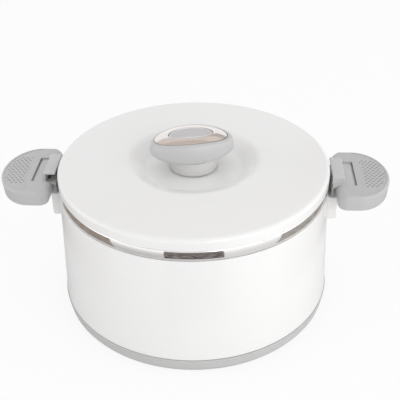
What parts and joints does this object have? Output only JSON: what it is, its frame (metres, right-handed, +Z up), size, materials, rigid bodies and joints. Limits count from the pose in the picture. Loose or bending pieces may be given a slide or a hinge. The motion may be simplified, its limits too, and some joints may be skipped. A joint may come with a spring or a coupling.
{
  "type": "thermal serving bowl",
  "caption": "Round insulated serving bowl with a steel liner, a lift-off lid with an oval knob, and side handles that fold down and carry sliding thumb catches.",
  "frame": {"origin": "centre of the foot ring on the surface that the bowl stands on", "axes": "+Z up, +X through the middle of the right handle, -Y towards the viewer of the picture"},
  "size_m": [0.3026, 0.2174, 0.145],
  "materials": {
    "white_plastic": "glossy moulded white",
    "grey_plastic": "satin moulded light grey",
    "handle_plastic": "fine satin grey",
    "dark_grey_plastic": "satin grey",
    "foam": "rigid foam, hidden",
    "silicone": "matt translucent white",
    "polished_steel": "polished pressed steel",
    "plated_trim": "bright plated, slightly warm",
    "plain_steel": "plain steel"
  },
  "bodies": {
    "base": {"base_cap": "grey_plastic", "base_plug": "grey_plastic", "outer_shell": "white_plastic", "body_insulation": "foam", "inner_bowl": "polished_steel", "hinge_block_right": "dark_grey_plastic", "hinge_pin_right": "plain_steel", "hinge_screw_right_front": "plain_steel", "hinge_screw_right_back": "plain_steel", "hinge_block_left": "dark_grey_plastic", "hinge_pin_left": "plain_steel", "hinge_screw_left_front": "plain_steel", "hinge_screw_left_back": "plain_steel"},
    "lid": {"lid_cover": "white_plastic", "lid_liner": "white_plastic", "lid_insulation": "foam", "lid_seal": "silicone", "knob_stem": "grey_plastic", "knob_grip": "grey_plastic", "knob_trim": "plated_trim", "knob_inlay": "grey_plastic", "knob_screw": "plain_steel", "knob_nut": "plain_steel"},
    "handle_right": {"handle_right": "handle_plastic"},
    "catch_right": {"catch_right": "handle_plastic"},
    "handle_left": {"handle_left": "handle_plastic"},
    "catch_left": {"catch_left": "handle_plastic"}
  },
  "joints": [
    {"name": "lid_lift", "type": "slide", "parent": "base", "child": "lid", "axis": [0, 0, 1], "range_m": [0, 0.06]},
    {"name": "handle_right_fold", "type": "hinge", "parent": "base", "child": "handle_right", "pos_m": [0.115, 0, 0.1022], "axis": [0, 1, 0], "range_deg": [0, 85]},
    {"name": "handle_left_fold", "type": "hinge", "parent": "base", "child": "handle_left", "pos_m": [-0.115, 0, 0.1022], "axis": [0, -1, 0], "range_deg": [0, 85]},
    {"name": "catch_right_slide", "type": "slide", "parent": "handle_right", "child": "catch_right", "axis": [1, 0, 0], "range_m": [0, 0.006]},
    {"name": "catch_left_slide", "type": "slide", "parent": "handle_left", "child": "catch_left", "axis": [-1, 0, 0], "range_m": [0, 0.006]}
  ]
}
